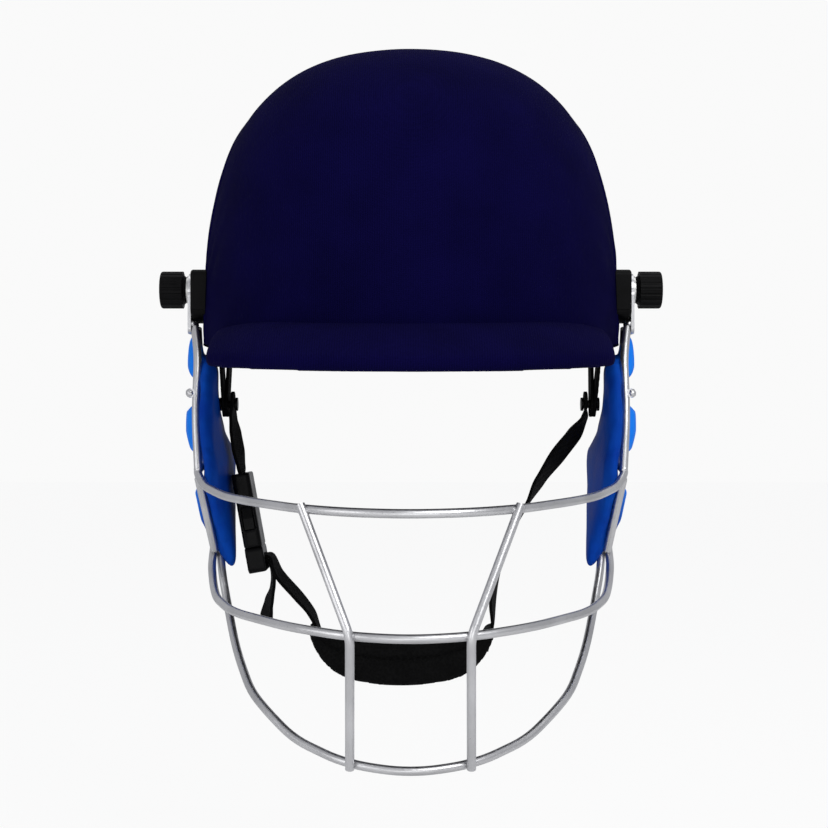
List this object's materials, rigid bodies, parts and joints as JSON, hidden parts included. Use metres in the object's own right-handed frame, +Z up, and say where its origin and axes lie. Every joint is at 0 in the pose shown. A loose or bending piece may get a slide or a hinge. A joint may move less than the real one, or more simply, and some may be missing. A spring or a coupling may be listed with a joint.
{
  "type": "cricket helmet",
  "caption": "Cricket batting helmet with a navy cloth-covered shell and peak, a welded wire face grille with blue padded side guards, thumb knobs and a buckled chin strap with a cup.",
  "frame": {"origin": "Centre of the head opening: on the symmetry plane, on the plane through both grille bolts, at the level of the shell's side rim.", "axes": "+Z up through the crown; the wearer looks along -Y, so the peak points to -Y; +X is the wearer's left."},
  "size_m": [0.254, 0.2927, 0.3434],
  "materials": {
    "navy_cloth": "ribbed knit, matt",
    "shell_plastic": "moulded, matt",
    "liner_foam": "moulded closed-cell foam",
    "pad_foam": "cloth-faced foam",
    "bar_steel": "satin, bright",
    "zinc_steel": "plated",
    "block_plastic": "moulded, matt",
    "knob_plastic": "moulded, satin",
    "buckle_plastic": "moulded, satin",
    "strap_webbing": "woven webbing",
    "cup_padding": "padded, stitched",
    "blue_padding": "satin-skinned foam"
  },
  "bodies": {
    "helmet": {"outer_shell": "shell_plastic", "peak_core": "shell_plastic", "peak_cover": "navy_cloth", "cover_crown_panel": "navy_cloth", "cover_side_panel_left": "navy_cloth", "cover_side_panel_right": "navy_cloth", "impact_liner_left": "liner_foam", "impact_liner_right": "liner_foam", "comfort_pad_front": "pad_foam", "comfort_pad_rear": "pad_foam", "comfort_pad_left": "pad_foam", "comfort_pad_right": "pad_foam", "comfort_pad_crown": "pad_foam", "fixing_block_left": "block_plastic", "fixing_block_right": "block_plastic", "grille_bolt_left": "zinc_steel", "grille_bolt_right": "zinc_steel", "block_screws": "zinc_steel", "peak_screws": "zinc_steel", "strap_front_leg_left": "strap_webbing", "strap_front_leg_right": "strap_webbing", "strap_rear_leg_left": "strap_webbing", "strap_rear_leg_right": "strap_webbing", "strap_rivets": "buckle_plastic"},
    "grille": {"lowest_bar": "bar_steel", "eye_bar": "bar_steel", "chin_bar": "bar_steel", "side_bar_left": "bar_steel", "slanted_bar_left": "bar_steel", "ear_bar_left": "bar_steel", "upright_bar_left": "bar_steel", "grille_tab_left": "bar_steel", "side_guard_left": "blue_padding", "side_bar_right": "bar_steel", "slanted_bar_right": "bar_steel", "ear_bar_right": "bar_steel", "upright_bar_right": "bar_steel", "grille_tab_right": "bar_steel", "side_guard_right": "blue_padding"},
    "washer_left": {"knob_washer_left": "zinc_steel"},
    "knob_left": {"thumb_knob_left": "knob_plastic"},
    "washer_right": {"knob_washer_right": "zinc_steel"},
    "knob_right": {"thumb_knob_right": "knob_plastic"},
    "chin_strap": {"lower_strap_left": "strap_webbing", "lower_strap_right": "strap_webbing", "buckle_housing": "buckle_plastic", "buckle_plug": "buckle_plastic", "cup_strap": "strap_webbing", "strap_tail": "strap_webbing", "chin_cup": "cup_padding"},
    "finger_front": {"buckle_finger_front": "buckle_plastic"},
    "finger_rear": {"buckle_finger_rear": "buckle_plastic"}
  },
  "joints": [
    {"name": "grille_tilt", "type": "hinge", "parent": "helmet", "child": "grille", "pos_m": [0, 0, 0.028], "axis": [-1, 0, 0], "range_deg": [-8, 12]},
    {"name": "washer_slide_left", "type": "slide", "parent": "helmet", "child": "washer_left", "axis": [1, 0, 0], "range_m": [0, 0.00151]},
    {"name": "knob_turn_left", "type": "hinge", "parent": "washer_left", "child": "knob_left", "pos_m": [0, 0, 0.028], "axis": [1, 0, 0], "range_deg": [0, 540]},
    {"name": "washer_slide_right", "type": "slide", "parent": "helmet", "child": "washer_right", "axis": [-1, 0, 0], "range_m": [0, 0.00151]},
    {"name": "knob_turn_right", "type": "hinge", "parent": "washer_right", "child": "knob_right", "pos_m": [0, 0, 0.028], "axis": [-1, 0, 0], "range_deg": [0, 540]},
    {"name": "chin_strap_swing", "type": "hinge", "parent": "helmet", "child": "chin_strap", "pos_m": [0, 0.005, -0.03], "axis": [-1, 0, 0], "range_deg": [-10, 40]},
    {"name": "finger_press_front", "type": "slide", "parent": "chin_strap", "child": "finger_front", "axis": [0, 1, 0], "range_m": [0, 0.002], "stiffness_N_per_m": 500},
    {"name": "finger_press_rear", "type": "slide", "parent": "chin_strap", "child": "finger_rear", "axis": [0, -1, 0], "range_m": [0, 0.002], "stiffness_N_per_m": 500}
  ],
  "couplings": [
    {"joint": "washer_slide_left", "follows": "knob_turn_left", "m_per_rad": 0.00015915},
    {"joint": "washer_slide_right", "follows": "knob_turn_right", "m_per_rad": 0.00015915}
  ]
}
